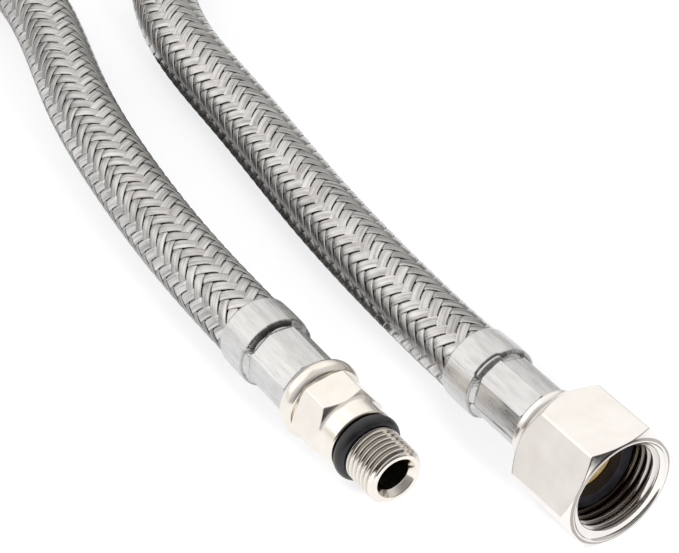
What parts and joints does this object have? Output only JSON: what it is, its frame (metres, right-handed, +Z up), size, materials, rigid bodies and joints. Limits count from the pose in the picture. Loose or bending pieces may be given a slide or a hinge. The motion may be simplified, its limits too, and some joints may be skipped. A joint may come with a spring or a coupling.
{
  "type": "braided supply line",
  "caption": "Flexible braided water hose with a swivel hexagon nut and sealing washer at one end and a threaded tail with an O-ring at the other",
  "frame": {"origin": "on the surface the line lies on, below the middle of the box round its two end fittings, without the hose", "axes": "+X along the swivel nut's axis and out of its mouth, +Y from the tail fitting towards the nut, +Z up from the surface"},
  "size_m": [0.3169, 0.1351, 0.019],
  "materials": {
    "nickel_nut": "satin nickel plate on brass",
    "nickel_tail": "bright nickel plate on brass",
    "brass": "machined",
    "ferrule_steel": "satin, crimped",
    "braid_steel": "woven flat ribbons of fine wire",
    "washer_rubber": "matte",
    "oring_rubber": "semi-matte",
    "liner_rubber": "matte"
  },
  "bodies": {
    "hose": {"nut_nipple": "brass", "nut_ferrule": "ferrule_steel", "tail_fitting": "nickel_tail", "tail_oring": "oring_rubber", "tail_ferrule": "ferrule_steel", "braid_sleeve": "braid_steel", "inner_tube": "liner_rubber"},
    "washer": {"sealing_washer": "washer_rubber"},
    "nut": {"swivel_nut": "nickel_nut"}
  },
  "joints": [
    {"name": "nut_slide", "type": "slide", "parent": "hose", "child": "washer", "axis": [1, 0, 0], "range_m": [0, 0.0015]},
    {"name": "nut_swivel", "type": "hinge", "parent": "washer", "child": "nut", "pos_m": [0.0326, 0.0097, 0.0095], "axis": [1, 0, 0], "continuous": true}
  ]
}
